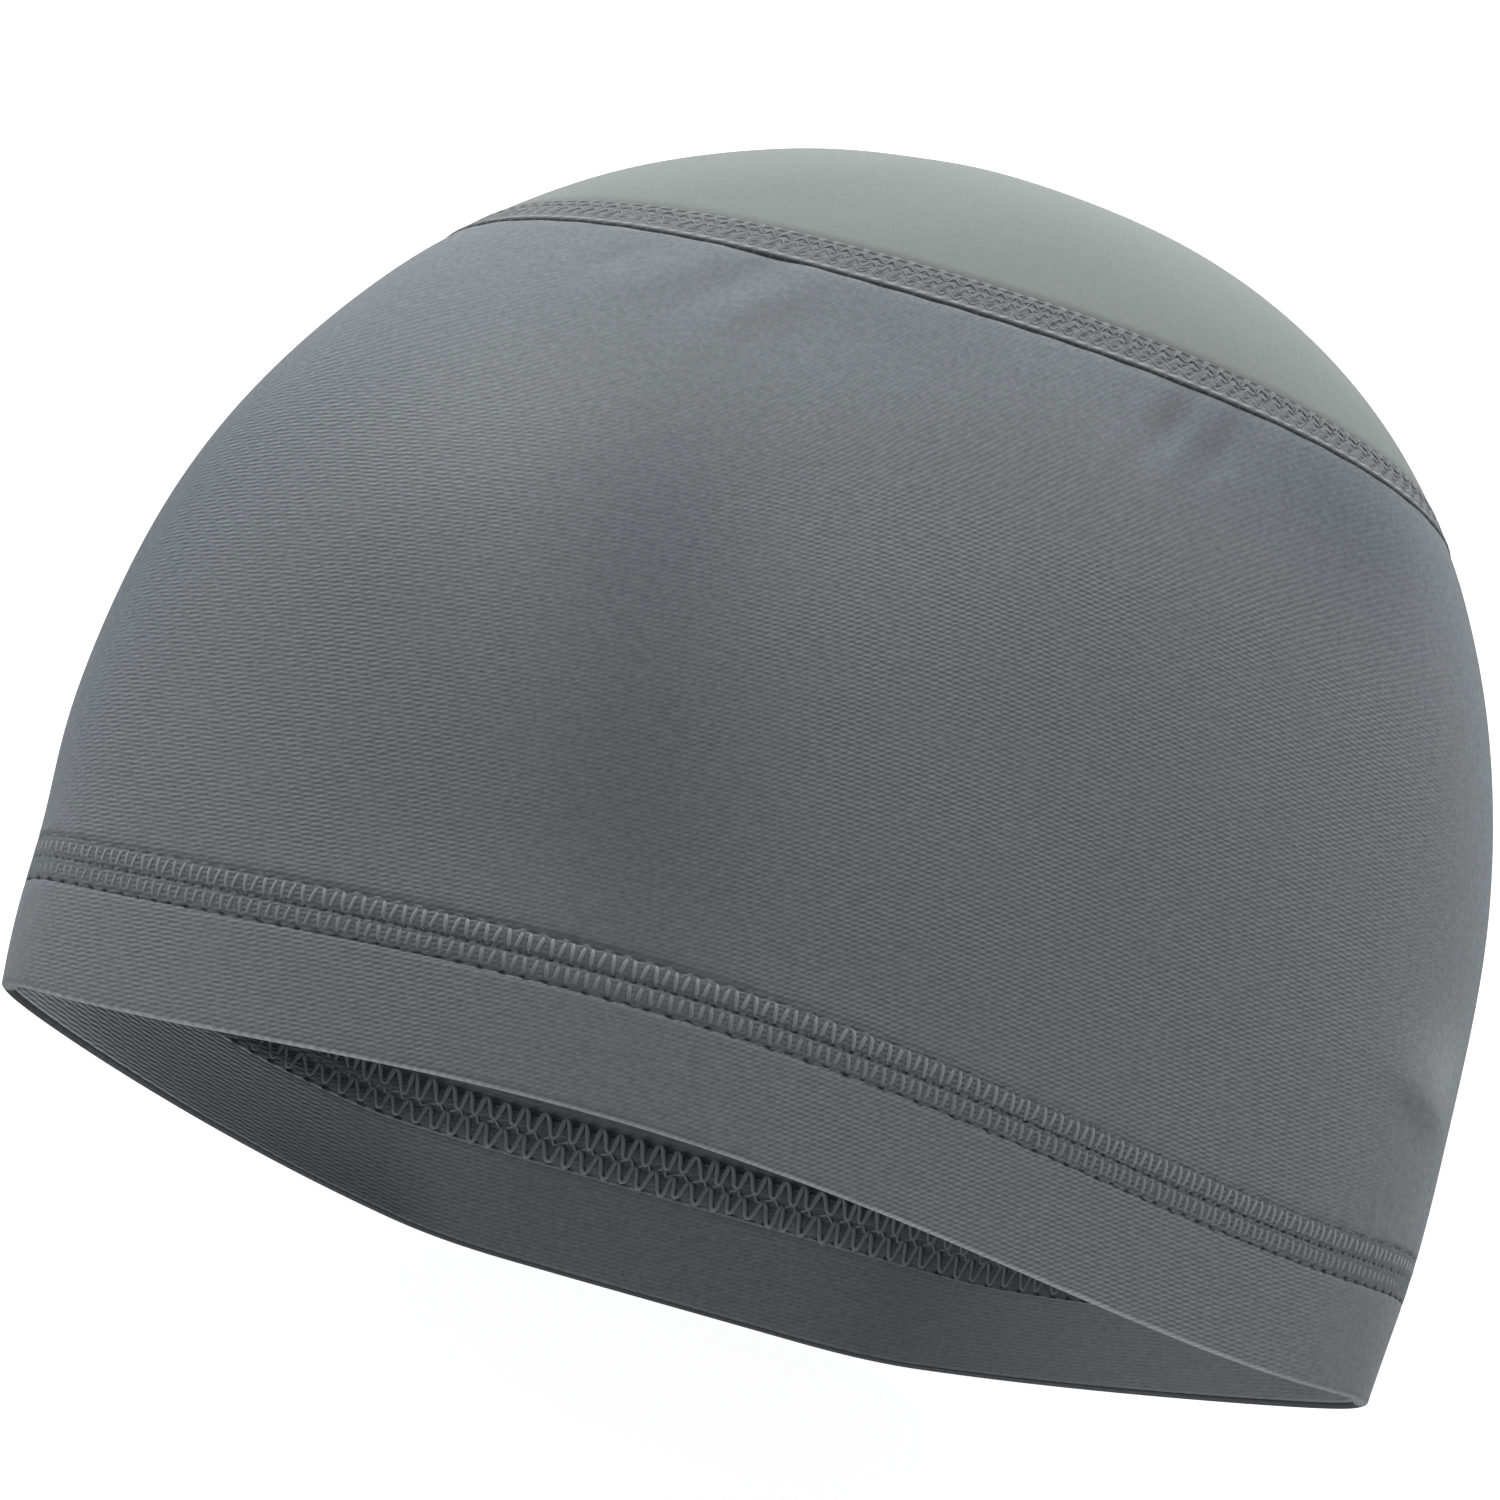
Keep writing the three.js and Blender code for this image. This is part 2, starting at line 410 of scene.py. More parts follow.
# Painted light at each side fold, where light comes in: how pale it makes the cloth, and the
# cosines of the angle between which that comes.
LEFT_PAINTED_LIGHT = 1.3
LEFT_PAINTED_LIGHT_BETWEEN = (0.2, 0.85)
RIGHT_PAINTED_LIGHT = 1.0
RIGHT_PAINTED_LIGHT_BETWEEN = (0.25, 0.92)


def inner_share(around):
    """The same two for the inner skin. On the wall that lies down the weave is clearest
    near the -X fold, and near both folds painted light makes the cloth paler, where light
    comes in. The clearness is a bell shape in angle, and the painted light two soft steps in
    its cosine."""
    clearer = INNER_CLEARER * bell(np.degrees(around), INNER_CLEAREST_AT, INNER_CLEAREST_SPREAD)
    right = np.cos(around)
    painted_light_tone = LEFT_PAINTED_LIGHT * soft_step(-right, *LEFT_PAINTED_LIGHT_BETWEEN)
    painted_light_tone = painted_light_tone + RIGHT_PAINTED_LIGHT * soft_step(right, *RIGHT_PAINTED_LIGHT_BETWEEN)
    lying = np.sin(around) < 0
    return np.stack([np.where(lying, INNER_CLEAR + clearer, 1.0), np.where(lying, painted_light_tone, 0.0)], -1)


def put_mesh(name, points, quads, triangles=None, uv=None):
    """A smooth shaded mesh from whole arrays of points in millimetres, quads, triangles and
    corner values of its maps. It rides on the cap's one body."""
    mesh = bpy.data.meshes.new(name)
    triangles = np.zeros((0, 3), int) if triangles is None else triangles
    loops = np.concatenate([quads.reshape(-1), triangles.reshape(-1)]).astype(np.int32)
    starts = np.concatenate([np.arange(len(quads)) * 4, len(quads) * 4 + np.arange(len(triangles)) * 3])
    mesh.vertices.add(len(points))
    mesh.vertices.foreach_set("co", (points.reshape(-1) * MM).astype(np.float32))
    mesh.loops.add(len(loops))
    mesh.loops.foreach_set("vertex_index", loops)
    mesh.polygons.add(len(starts))
    mesh.polygons.foreach_set("loop_start", starts.astype(np.int32))
    mesh.polygons.foreach_set("use_smooth", np.ones(len(starts), bool))
    mesh.update(calc_edges=True)
    for layer_name, values in (uv or {}).items():
        layer = mesh.uv_layers.new(name=layer_name)
        layer.data.foreach_set("uv", values.reshape(-1).astype(np.float32))
    mesh.validate()
    piece = bpy.data.objects.new(name, mesh)
    bpy.context.scene.collection.objects.link(piece)
    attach(piece, "root")
    return piece


def grid_quads(columns, rows, wrap_rows):
    """Corner indices of a grid that closes round its columns, and maybe its rows."""
    i, k = np.meshgrid(np.arange(columns), np.arange(rows if wrap_rows else rows - 1), indexing="ij")
    j, m = (i + 1) % columns, (k + 1) % rows
    corners = np.stack([i * rows + k, i * rows + m, j * rows + m, j * rows + k], -1)
    return corners.reshape(-1, 4)


def corner_values(values, columns, rows):
    """Values at the four corners of each face of a grid that closes both ways. values has
    one more column and one more row than the grid, so that the maps don't jump back."""
    i, k = np.meshgrid(np.arange(columns), np.arange(rows), indexing="ij")
    picked = [values[i, k], values[i, k + 1], values[i + 1, k + 1], values[i + 1, k]]
    return np.stack(picked, 2).reshape(-1, values.shape[-1])


def columns_round(count):
    """Angles of the columns from the starting angle, and the first one once more."""
    return START + np.arange(count + 1) * (TURN / count)


def chain_profile(low_arc, high_arc, wall, proud, rows_out, rows_in, arc_rows):
    """A closed profile through a wall: share of the height, offset from the edge, inset
    below the skin, and 1 on the inner side. It climbs the outer side and falls down the
    inner one. Each edge is half an ellipse as deep as its arc, hollow where that is
    negative."""
    half = wall / 2
    middle = half - proud
    climb = np.linspace(0, 1, rows_out)
    fall = np.linspace(1, 0, rows_in)
    turn = np.linspace(0, math.pi, arc_rows + 2)[1:-1]
    hollow = 1 - np.sin(turn)
    share = np.concatenate([climb, np.ones(arc_rows), fall, np.zeros(arc_rows)])
    outer, inner = (low_arc * (1 - part) - high_arc * part for part in (climb, fall))
    offset = np.concatenate([outer, -high_arc * hollow, inner, low_arc * hollow])
    top, foot = middle - half * np.cos(turn), middle + half * np.cos(turn)
    inset = np.concatenate([np.full(rows_out, -proud), top, np.full(rows_in, wall - proud), foot])
    side = np.repeat([0, 0, 1, 0], [rows_out, arc_rows, rows_in, arc_rows])
    return share, offset, inset, side


# The hem's third material, painted shade on its fold where the cap lies on the floor, starts
# this far into the wall's thickness, on the columns of the lying wall, whose angles have a
# sine below a limit.
FOLD_FROM = 0.25
LYING_BELOW = -0.05


def ring_piece(name, low, high, profile, columns, relief, phase, materials):
    """A band of the cap as a closed wall: its profile carried round the cap between two
    lines. Its maps hold stitch number and height, the phases of the weave on both sides,
    and how clear and how pale both sides are; the paleness is painted light and painted
    shade. With a third material, the fold of the lying wall gets painted shade."""
    share, offset, inset, side = profile
    around = columns_round(columns)[:, None]
    lower, upper = low(around), high(around)
    up = np.maximum(lower + (upper - lower) * share + offset, 0)
    turns = np.broadcast_to(around, up.shape)
    numbers = np.broadcast_to(phase(around), up.shape)
    rise = relief(turns[:-1], up[:-1], side[None, :], numbers[:-1])
    points = cloth(turns[:-1], up[:-1], inset[None, :], rise)
    rows = len(share)
    values = {
        "cloth": np.stack([numbers, up - lower], -1),
        "grain": outer_weave(turns, up),
        "clear": outer_share(turns, up),
        "inside_clear": inner_share(turns),
    }
    maps = {}
    for key, value in values.items():
        closed = np.concatenate([value, value[:, :1]], axis=1)
        maps[key] = corner_values(closed, columns, rows)
    closed_up = np.concatenate([up, up[:, :1]], axis=1)
    closed_turns = np.broadcast_to(around, closed_up.shape)
    maps["inside"] = inner_weave(closed_turns, closed_up, columns, rows)
    piece = put_mesh(name, points.reshape(-1, 3), grid_quads(columns, rows, True), uv=maps)
    which = np.tile(side, (columns, 1))
    if len(materials) > 2:
        # The lying wall's fold gets the painted shade material.
        lying = np.sin(around[:-1] + TURN / columns / 2) < LYING_BELOW
        fold = (share == 0) & (inset > FOLD_FROM * HEM_WALL)
        which = np.where(lying & fold[None, :], 2, which)
    paint(piece, materials, which.reshape(-1))
    return piece


def paint(piece, materials, which):
    """Gives each face one of a piece's materials, by its number."""
    for material in materials:
        piece.data.materials.append(material)
    index = np.zeros(len(piece.data.polygons), np.int32)
    index[: len(which)] = which
    piece.data.polygons.foreach_set("material_index", index)
    piece.data.update()


# Rows round the crown's edge, how clear its weave is, and the slope of the flat map that
# its weave lies on: the direction across it, in Y and Z.
CROWN_EDGE_ROWS = 5
CROWN_CLEAR = 0.15
CROWN_MAP_ALONG = (0.55, -0.83)


def crown_piece(name, low, columns, rows_out, rows_in, relief, materials):
    """The crown as a closed shell: a chain of rings from the inner pole out over the edge,
    which is a half circle, to the outer pole, with a fan of triangles at each pole."""
    around = columns_round(columns)[:, None]
    lower = low(around)
    total = along_angle(WALK["total"], around)
    inner = np.linspace(1, 0, rows_in + 1)[1:]
    outer = np.linspace(0, 1, rows_out + 1)[:-1]
    turn = np.linspace(0, math.pi, CROWN_EDGE_ROWS + 2)[1:-1]
    half = KNIT_WALL / 2
    edge = half + half * np.cos(turn)
    share = np.concatenate([inner, np.zeros(CROWN_EDGE_ROWS), outer])
    offset = np.concatenate([np.zeros(rows_in), -half * np.sin(turn), np.zeros(rows_out)])
    inset = np.concatenate([np.full(rows_in, KNIT_WALL), edge, np.zeros(rows_out)])
    side = np.repeat([1, 0], [rows_in, CROWN_EDGE_ROWS + rows_out])
    up = lower + (total - lower) * share + offset
    turns = np.broadcast_to(around, up.shape)
    rise = relief(turns[:-1], up[:-1], side[None, :], 0)
    points = cloth(turns[:-1], up[:-1], inset[None, :], rise)
    rows = len(share)
    poles = np.stack([points[:, 0].mean(0), points[:, -1].mean(0)])
    quads = grid_quads(columns, rows, False)
    i = np.arange(columns)
    j = (i + 1) % columns
    inner_pole, outer_pole = columns * rows, columns * rows + 1
    inner_fan = np.stack([np.full(columns, inner_pole), i * rows, j * rows], -1)
    outer_fan = np.stack([i * rows + rows - 1, np.full(columns, outer_pole), j * rows + rows - 1], -1)
    everything = np.concatenate([points.reshape(-1, 3), poles])
    fans = np.concatenate([inner_fan, outer_fan])
    corners = np.concatenate([quads.reshape(-1), fans.reshape(-1)])
    flat = np.stack([everything[:, 1:] @ np.array(CROWN_MAP_ALONG), everything[:, 0]], -1)
    flat_map = ROWS_AT_RIM * flat[corners]
    clear = np.broadcast_to(np.array([CROWN_CLEAR, 0.0]), flat_map.shape)
    maps = {"grain": flat_map, "inside": flat_map, "clear": clear, "inside_clear": clear}
    piece = put_mesh(name, everything, quads, fans, maps)
    fan_sides = np.repeat([1, 0], columns)
    paint(piece, materials, np.concatenate([np.tile(side[:-1], columns), fan_sides]))
    return piece


# A thread's section has this many points.
THREAD_SIDES = 6


def thread(name, around, up, lift, radius, material):
    """A round thread along a closed path over the cloth: six points swept round it, square
    to the path, which lies at a lift from the skin."""
    centre = cloth(around, up, 0.0, lift)
    ahead = np.roll(centre, -1, 0) - np.roll(centre, 1, 0)
    normal = outward(around, reach_at(around, up))
    side = np.cross(ahead, normal)
    side /= np.linalg.norm(side, axis=-1, keepdims=True)
    normal = np.cross(side, ahead)
    normal /= np.linalg.norm(normal, axis=-1, keepdims=True)
    turn = np.arange(THREAD_SIDES) * (TURN / THREAD_SIDES)
    ring = side[:, None] * np.cos(turn)[:, None] - normal[:, None] * np.sin(turn)[:, None]
    points = centre[:, None] + ring * radius
    points[..., 2] = np.maximum(points[..., 2], 0)
    piece = put_mesh(name, points.reshape(-1, 3), grid_quads(len(around), THREAD_SIDES, True))
    piece.data.materials.append(material)


# Stitches round the hem and round the crown seam, and how many of them each seam crowds
# towards the +X side.
HEM_STITCHES = 168
HEM_CROWDING = 6.0
CROWN_STITCHES = 160
CROWN_CROWDING = 0.0


def stitch_tables(up, count, crowding, columns=2000):
    """Stitch number at each angle: a share of the cloth's length round the cap along a
    line, plus a sine of the angle that crowds the stitches on the +X side."""
    around = columns_round(columns)
    skin = smooth_point(around, reach_at(around, up(around)), 0)
    walked = np.concatenate([[0], np.cumsum(np.linalg.norm(np.diff(skin, axis=0), axis=-1))])
    number = count * walked / walked[-1] + crowding * (np.sin(around) - math.sin(START))
    return around, number


def rim_line(around):
    """Cloth height of the rim: nought at every angle."""
    return np.zeros(np.shape(around))


def hem_line(around):
    """Cloth height of the plain hem's top, the same at every angle."""
    return np.full(np.shape(around), HEM_PLAIN)


def hem_top(around):
    """Cloth height of the stitched hem's top, the same at every angle."""
    return np.full(np.shape(around), HEM_TOTAL)


def crown_line(around):
    """Upper edge of the crown's band: its width above the seam, less a soft step at +X."""
    narrower = BAND_NARROWS * soft_step(np.cos(around), *BAND_NARROWS_BETWEEN)
    return seam_up(around) + STITCHED_BAND - narrower


HEM_TABLE = stitch_tables(hem_line, HEM_STITCHES, HEM_CROWDING)
CROWN_TABLE = stitch_tables(seam_up, CROWN_STITCHES, CROWN_CROWDING)


def hem_number(around):
    """Stitch number of the hem at an angle, straight between the table's columns."""
    return np.interp(around, *HEM_TABLE)


def crown_number(around):
    """Stitch number of the crown seam at an angle, in the same way."""
    return np.interp(around, *CROWN_TABLE)


def number_angle(table, number):
    """The angle of a stitch number: a seam's table read the other way."""
    return np.interp(number, table[1], table[0])


# A soft wave goes round the cap this many times: from the first up to below the second.
WAVES_ROUND = (2, 11)


def soft_waves(around, up, seed, scale, count=9):
    """Gentle unevenness of laid cloth: a sum of a few cosine waves of random direction,
    all round the cap without a step."""
    rng = np.random.default_rng(seed)
    total = 0
    for _ in range(count):
        round_waves = rng.integers(*WAVES_ROUND)
        up_wave = rng.uniform(-1, 1) / scale
        total = total + np.cos(round_waves * around + TURN * up_wave * up + rng.uniform(0, TURN))
    return total / math.sqrt(count)


def holes(number, spread):
    """1 at each stitch hole, where the stitch number is whole: bell shapes along a seam."""
    return bell(np.abs(np.mod(number, 1) - 0.5), 0.5, spread)


def near_folds(around):
    """1 at both side folds and soon 0: the eighth power of the cosine of the angle."""
    return np.cos(around) ** 8


def along_seam(number, away, waves, fade, height):
    """Fine ripples beside a seam: a cosine along it that dies away exponentially."""
    return height * np.cos(TURN * waves * number) * np.exp(-np.maximum(away, 0) / fade)


# Needle lines of the hem seam, in millimetres of cloth up from the rim.
NEEDLES = (HEM_PLAIN + 0.15, HEM_PLAIN + 3.6, HEM_TOTAL - 0.15)
# How broad and deep a needle line is on the plain hem and on the stitched band, and how
# much deeper a hole is, in millimetres. A hole's breadth is in stitches.
HEM_LINE_HALF = 0.35
HEM_LINE_DEEP = 0.14
HEM_HOLE_DEEP = 0.3
BAND_LINE_HALF = 0.33
BAND_LINE_DEEP = 0.1
BAND_HOLE_DEEP = 0.38
HOLE_HALF = 0.16
# Height of the two puffed rows between the needle lines, how blunt they are, and how much
# of it all is lost at the side folds. Then the inside's base and its bulges.
LOW_PUFF = 0.08
HIGH_PUFF = 0.12
PUFF_POWER = 0.8
LOST_AT_FOLDS = 0.9
INNER_BASE = 0.2
INNER_BULGE = 0.35


# Every relief takes the angle, the cloth height, the side and the stitch number, and gives
# the height above the skin in millimetres.
def hem_relief(around, up, side, number):
    """The hem dips into its stitching line on both faces: a bell shape across the line,
    deeper at the stitch holes."""
    depth = HEM_LINE_DEEP + HEM_HOLE_DEEP * holes(number, HOLE_HALF)
    dip = -depth * bell(up, HEM_PLAIN, HEM_LINE_HALF)
    return np.where(side == 0, dip, -dip)


def hem_seam_relief(around, up, side, number):
    """Three needle lines pressed into the outside, with a pit at every stitch hole, and the
    two rows between them puffed up as half sine waves, flatter near the side folds. The
    inside bulges between the lines in the same way."""
    first, middle, last = NEEDLES
    depth = BAND_LINE_DEEP + BAND_HOLE_DEEP * holes(number, HOLE_HALF)
    grooves = depth * sum(bell(up, line, BAND_LINE_HALF) for line in NEEDLES)
    low_row = np.sin(math.pi * np.clip((up - first) / (middle - first), 0, 1))
    high_row = np.sin(math.pi * np.clip((up - middle) / (last - middle), 0, 1))
    puff = LOW_PUFF * low_row**PUFF_POWER + HIGH_PUFF * high_row**PUFF_POWER
    outside = (puff - grooves) * (1 - LOST_AT_FOLDS * near_folds(around))
    return np.where(side == 0, outside, INNER_BASE - INNER_BULGE * (low_row + high_row))


# Small puckers of the body. Angle round the cap and its spread in degrees, cloth height
# below the crown seam and its spread in millimetres, rise in millimetres, and how far
# the pucker slants, in degrees for each millimetre down from its middle.
PUCKERS = [
    (67.0, 1.7, 9, 6.5, -0.9, -0.25),
    (61.0, 1.7, 9, 6.5, -0.85, -0.25),
    (64.0, 1.3, 8, 5, 0.2, -0.25),
    (73.0, 2.0, 10, 6, -0.2, -0.2),
    (113.0, 2.6, 8, 8, -0.55, -0.25),
    (107.5, 2.6, 9, 7, 0.4, -0.25),
    (119.5, 2.2, 9, 6, 0.2, -0.3),
    (126.0, 2.0, 8, 5, -0.25, -0.3),
]
# Where the body dives under the crown seam and under the hem: distance from the edge,
# spread and depth. Its inner face follows by a share.
TOP_DIVE = (-0.4, 0.4, 0.8)
HEM_DIVE = (-0.2, 0.35, 0.35)
INNER_DIVE = 0.3
# Ripples beside the hem and beside the crown seam: waves for each stitch, the length over
# which they die away and their height.
HEM_RIPPLES = (0.5, 3, 0.07)
CROWN_RIPPLES = (0.33, 4, 0.04)
# Soft waves of the body and of the crown: seed, length and height, and how far from the
# edges they come in.
BODY_WAVES = (8, 45)
BODY_WAVE_HEIGHT = 0.16
BODY_WAVES_FROM = 12
CROWN_WAVES = (21, 40)
CROWN_WAVE_HEIGHT = 0.1
CROWN_WAVES_FROM = 10


def dive(away, at, spread, depth):
    """How an edge of cloth turns down under its neighbour: a bell shape at the edge."""
    return -depth * bell(away, at, spread)


def puckers(around, up, below_top):
    """Narrow slanted bell shapes under the crown seam, and a crease at the side: a bell
    with a width of its own on each side of its line, faded along the line by another."""
    degrees = np.degrees(around)
    rise = 0
    for at, spread, below, tall, height, slant in PUCKERS:
        away = below_top - below
        rise = rise + height * bell(degrees + slant * away, at, spread) * bell(away, 0, tall)
    across = up - crease_level(degrees)
    width = np.where(across > 0, CREASE_LONG_SIDE, CREASE_STEEP_SIDE)
    return rise + CREASE_HEIGHT * bell(across, 0, width) * bell(degrees, CREASE_AT, CREASE_SPREAD)


def body_relief(around, up, side, number):
    """The body dives under both seams, ripples finely beside them, puckers and rolls
    softly. The soft waves fade in straight from both edges."""
    below_top = seam_up(around) - up
    above_hem = up - HEM_TOTAL
    dives = dive(below_top, *TOP_DIVE) + dive(above_hem, *HEM_DIVE)
    dives = np.where(side == 0, dives, -INNER_DIVE * dives)
    ripples = along_seam(hem_number(around), above_hem, *HEM_RIPPLES)
    ripples = ripples + along_seam(crown_number(around), below_top, *CROWN_RIPPLES)
    ends = np.clip(above_hem / BODY_WAVES_FROM, 0, 1) * np.clip(below_top / BODY_WAVES_FROM, 0, 1)
    waves = BODY_WAVE_HEIGHT * soft_waves(around, up, *BODY_WAVES)
    return dives + ripples + waves * ends + puckers(around, up, below_top)


# The crown's band: height above the seam, spread and depth of the ditch under it, of the
# rolled edge over that and of a needle line. Then the top needle line with its holes.
CROWN_BAND_LINES = [
    (-0.1, 0.28, 0.6),
    (0.75, 0.45, -0.14),
    (5.2, 0.3, 0.12),
]
TOP_LINE_HALF = 0.4
TOP_LINE_DEEP = 0.1
TOP_HOLE_DEEP = 0.3
TOP_HOLE_HALF = 0.3
# Its slanted texture: height, stitches of slant for each millimetre up, middle and spread.
TEXTURE_HEIGHT = 0.08
TEXTURE_SLANT = 0.25
TEXTURE_MIDDLE = 4.0
TEXTURE_SPREAD = 2.2
# Where the crown dives under the band: distance and spread, and its depth outside and in.
CROWN_DIVE = (-0.2, 0.4)
CROWN_DIVE_OUTSIDE = 0.3
CROWN_DIVE_INSIDE = -0.1


def crown_seam_relief(around, up, side, number):
    """A raised band: a ditch, a rolled lower edge and needle lines as bell shapes across,
    and between them a slanted cosine along the seam."""
    above = up - seam_up(around)
    slanted = np.cos(TURN * (number + TEXTURE_SLANT * above))
    rise = TEXTURE_HEIGHT * slanted * bell(above, TEXTURE_MIDDLE, TEXTURE_SPREAD)
    for line in CROWN_BAND_LINES:
        rise = rise + dive(above, *line)
    depth = TOP_LINE_DEEP + TOP_HOLE_DEEP * holes(number, TOP_HOLE_HALF)
    rise = rise + dive(above, STITCHED_BAND, TOP_LINE_HALF, depth)
    return np.where(side == 0, rise, 0.0)


def crown_relief(around, up, side, number):
    """The crown dips under its seam, and its soft waves fade out at the edge and the pole."""
    above = up - crown_line(around)
    left = along_angle(WALK["total"], around) - up
    dip = dive(above, *CROWN_DIVE, np.where(side == 0, CROWN_DIVE_OUTSIDE, CROWN_DIVE_INSIDE))
    ends = np.clip(above / CROWN_WAVES_FROM, 0, 1) * np.clip(left / CROWN_WAVES_FROM, 0, 1)
    return dip + CROWN_WAVE_HEIGHT * soft_waves(around, up, *CROWN_WAVES) * ends


def linear(code):
    """A hex colour as linear red, green and blue, with alpha."""
    parts = [int(code[i : i + 2], 16) / 255 for i in (1, 3, 5)]
    return tuple(p / 12.92 if p <= 0.04045 else ((p + 0.055) / 1.055) ** 2.4 for p in parts) + (1.0,)


def add(tree, kind, *values, output=0, **settings):
    """Adds one node with its settings and gives one of its outputs. Its inputs are set or
    linked in their order, or by name or place from a dictionary, and hex colours are
    turned to linear."""
    node = tree.nodes.new(f"ShaderNode{kind}")
    for key, value in settings.items():
        setattr(node, key, value)
    named = values[0] if values and isinstance(values[0], dict) else dict(enumerate(values))
    for key, value in named.items():
        if isinstance(value, bpy.types.NodeSocket):
            tree.links.new(value, node.inputs[key])
        else:
            node.inputs[key].default_value = linear(value) if isinstance(value, str) else value
    return node.outputs[output]


def map_values(tree, layer):
    """The two values of one of the piece's own maps."""
    source = add(tree, "UVMap", uv_map=layer)
    first, second, _ = add(tree, "SeparateXYZ", source).node.outputs
    return first, second


def uneven(tree, place, patches, detail, amount):
    """Noise round zero, up to half an amount each way. patches are counted a millimetre."""
    level = add(tree, "TexNoise", {"Vector": place, "Scale": patches, "Detail": detail})
    level = add(tree, "Math", level, 0.5, operation="SUBTRACT")
    return add(tree, "Math", level, amount, operation="MULTIPLY")


def ripple(tree, phase):
    """The cosine of a phase counted in turns."""
    angle = add(tree, "Math", phase, TURN, operation="MULTIPLY")
    return add(tree, "Math", angle, operation="COSINE")


def new_material(name, roughness):
    """A plain material without gloss, and its shader."""
    material = bpy.data.materials.new(name)
    material.use_nodes = True
    shader = next(n for n in material.node_tree.nodes if n.type == "BSDF_PRINCIPLED")
    shader.inputs["Roughness"].default_value = roughness
    shader.inputs["Specular IOR Level"].default_value = 0.0
    return material, shader


# Height above a piece's lower edge where its rows have faded out, and the fade's length.
ROWS_END = 91.0
ROWS_FADE = 16.0
# Noise patches for each millimetre: bends of the rows about 8 mm and 1 mm long, the shake
# of the needle marks, 2 mm long, the fuzz of the fibres, under 1 mm, and the patches about
# 9 mm across where the yarn shows more or less.
SLOW_BENDS = 0.12
FINE_BENDS = 0.9
MARK_SHAKE = 0.5
FUZZ = 1.1
CLEAR_PATCHES = 0.11
# How far the marks shake and how softly a dash ends, in stitches.
SHAKE_REACH = 0.5
DASH_END = 0.12
# The yarn shows at this least strength, and by so much more in the clearest patches.
YARN_LEAST = 0.3
YARN_MORE = 1.4
# How much the fuzz lightens the cloth and raises it, and how strongly the relief shows.
FUZZ_LIGHT = 0.9
FUZZ_HEIGHT = 0.4
RELIEF_STRENGTH = 0.8
# The least and the most painted light: 0 is the cloth's own colours, 1 its palest, painted
# lit ones, and below 0 painted shade darkens them.
PAINTED_LIGHT_LIMITS = (-1.0, 1.5)
# How colours are mixed. The node takes them at places 6 and 7 and gives its output 2.
COLOUR_MIX = {"data_type": "RGBA", "clamp_factor": False, "output": 2}
# Painted shade for a seam's grooves, holes and ditch, and a painted highlight for its rolled
# edge.
PAINTED_SHADE_DARK = "#1d2022"
PAINTED_HIGHLIGHT_LIGHT = "#a4a8a8"
# How matt cloth, thread and paper are.
CLOTH_ROUGHNESS = 0.92
THREAD_ROUGHNESS = 0.85
PAPER_ROUGHNESS = 0.9


def lattice(tree, layer, place, wander, slanted):
    """Small staggered dashes, from 0 between them to 1 on them: the mean of a wave across
    the rows and a slanted one. slanted is the second wave's part. Noise bends both. High
    on the cloth, where it is stretched, only the slanted wave is left."""
    rows, cross = map_values(tree, layer)
    _, height = map_values(tree, "cloth")
    left_over = add(tree, "MapRange", height, ROWS_END - ROWS_FADE, ROWS_END, 1.0, 0.0)
    drift = uneven(tree, place, SLOW_BENDS, 2.0, wander)
    shiver = uneven(tree, place, FINE_BENDS, 1.0, wander / 2)
    bend = add(tree, "Math", drift, shiver, operation="ADD")
    first = ripple(tree, add(tree, "Math", rows, bend, operation="ADD"))
    second = ripple(tree, add(tree, "Math", cross, bend, operation="SUBTRACT"))
    first = add(tree, "Math", first, left_over, operation="MULTIPLY")
    first = add(tree, "Math", first, (1 - slanted) / 2, 0.5, operation="MULTIPLY_ADD")
    return add(tree, "Math", second, slanted / 2, first, operation="MULTIPLY_ADD")


def painted_seam_shading(tree, place, rows):
    """0 to 1 where a seam shows its short dashes of painted shade or painted highlight, the
    strongest of its rows. Each row has its height and half its width in mm, the share of its
    pitch that is marked, its strength, and then how many dashes a stitch has, their shift and
    their slant, in stitches for each mm up."""
    number, height = map_values(tree, "cloth")
    shake = uneven(tree, place, MARK_SHAKE, 2.0, SHAKE_REACH)
    number = add(tree, "Math", number, shake, operation="ADD")
    painted_shading_marks = 0.0
    for line, half, share, strength, times, shift, slant in rows:
        rise = add(tree, "Math", height, line, operation="SUBTRACT")
        away = add(tree, "Math", rise, operation="ABSOLUTE")
        near = add(tree, "MapRange", away, 0.0, half, 1.0, 0.0)
        phase = add(tree, "Math", number, times, shift, operation="MULTIPLY_ADD")
        phase = add(tree, "Math", rise, slant, phase, operation="MULTIPLY_ADD")
        phase = add(tree, "Math", phase, operation="FRACT")
        phase = add(tree, "Math", phase, 0.5, operation="SUBTRACT")
        phase = add(tree, "Math", phase, operation="ABSOLUTE")
        edge = 0.5 - share / 2
        dash = add(tree, "MapRange", phase, edge, edge + DASH_END, 0.0, 1.0)
        mark = add(tree, "Math", near, dash, operation="MULTIPLY")
        mark = add(tree, "Math", mark, strength, operation="MULTIPLY")
        painted_shading_marks = add(tree, "Math", painted_shading_marks, mark, operation="MAXIMUM")
    return painted_shading_marks


